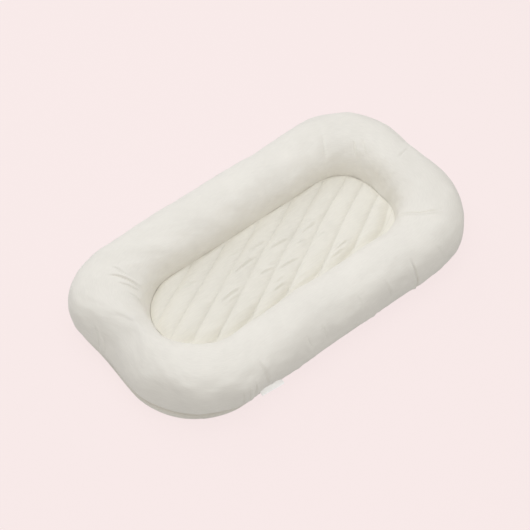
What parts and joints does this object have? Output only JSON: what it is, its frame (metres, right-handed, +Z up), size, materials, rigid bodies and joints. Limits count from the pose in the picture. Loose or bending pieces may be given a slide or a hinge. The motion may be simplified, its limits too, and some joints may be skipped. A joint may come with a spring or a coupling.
{
  "type": "infant lounger",
  "caption": "Soft infant lounger: a fat padded cotton ring round a diagonally quilted centre pad, with a base band, sewn-in labels and a zip in its far side.",
  "frame": {"origin": "middle of the base on the surface it stands on, in millimetres of the source and metres of the row", "axes": "+X along the length towards the end that is at the upper right in the picture, -Y towards the side that carries the label, +Z up"},
  "size_m": [0.8, 0.448, 0.118],
  "materials": {
    "cotton_cover": "plain woven natural cotton, soft matt",
    "cotton_quilt": "plain woven natural cotton, quilted in diagonal channels",
    "cotton_base": "plain woven natural cotton, matt",
    "liner": "thin white lining cloth",
    "fibre": "white hollow-fibre wadding",
    "zip_tape": "ivory woven tape",
    "zip_coil": "ivory nylon coil",
    "zip_metal": "ivory lacquer on zinc alloy, satin",
    "label": "white woven label, bare"
  },
  "bodies": {
    "lounger": {"bolster_cover": "cotton_cover", "bolster_liner_upper": "liner", "bolster_liner_lower": "liner", "bolster_fill": "fibre", "base_band": "cotton_base", "base_panel": "cotton_base", "quilted_pad": "cotton_quilt", "pad_backing": "liner", "pad_core": "fibre", "zip_tape_upper": "zip_tape", "zip_tape_lower": "zip_tape", "zip_coil_upper": "zip_coil", "zip_coil_lower": "zip_coil", "zip_stop_closed": "zip_coil", "zip_stop_open": "zip_coil", "zip_patch_closed": "cotton_base", "zip_patch_open": "cotton_base", "side_label": "label", "care_label": "label"},
    "slider": {"zip_slider": "zip_metal"},
    "pull": {"zip_pull": "zip_metal"}
  },
  "joints": [
    {"name": "zip_slide", "type": "slide", "parent": "lounger", "child": "slider", "axis": [1, 0, 0], "range_m": [0, 0.396]},
    {"name": "pull_swing", "type": "hinge", "parent": "slider", "child": "pull", "pos_m": [-0.2305, 0.21638, 0.01185], "axis": [0, 0, 1], "range_deg": [0, 180]}
  ]
}
